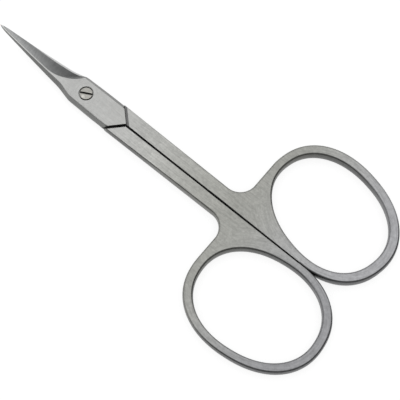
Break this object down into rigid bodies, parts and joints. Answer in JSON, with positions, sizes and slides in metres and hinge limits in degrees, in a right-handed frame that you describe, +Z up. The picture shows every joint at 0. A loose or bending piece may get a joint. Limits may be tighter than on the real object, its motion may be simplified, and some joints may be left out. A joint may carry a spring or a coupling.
{
  "type": "cuticle scissors",
  "caption": "Small steel cuticle scissors with slim curved blades, a slotted pivot screw and two oval finger rings.",
  "frame": {"origin": "pivot axis at the level that the closed scissors lie on", "axes": "+X from the pivot towards the finger rings, +Y towards the upper half's ring, +Z up along the pivot axis, out of the screw head"},
  "size_m": [0.093, 0.0477, 0.0037],
  "materials": {
    "satin_steel": "satin, finely brushed",
    "screw_steel": "turned, slightly brighter than the halves"
  },
  "bodies": {
    "lower": {"lower_half": "satin_steel", "pivot_screw": "screw_steel"},
    "upper": {"upper_half": "satin_steel"}
  },
  "joints": [
    {"name": "pivot", "type": "hinge", "parent": "lower", "child": "upper", "pos_m": [0, 0, 0], "axis": [0, 0, 1], "range_deg": [0, 110]}
  ]
}
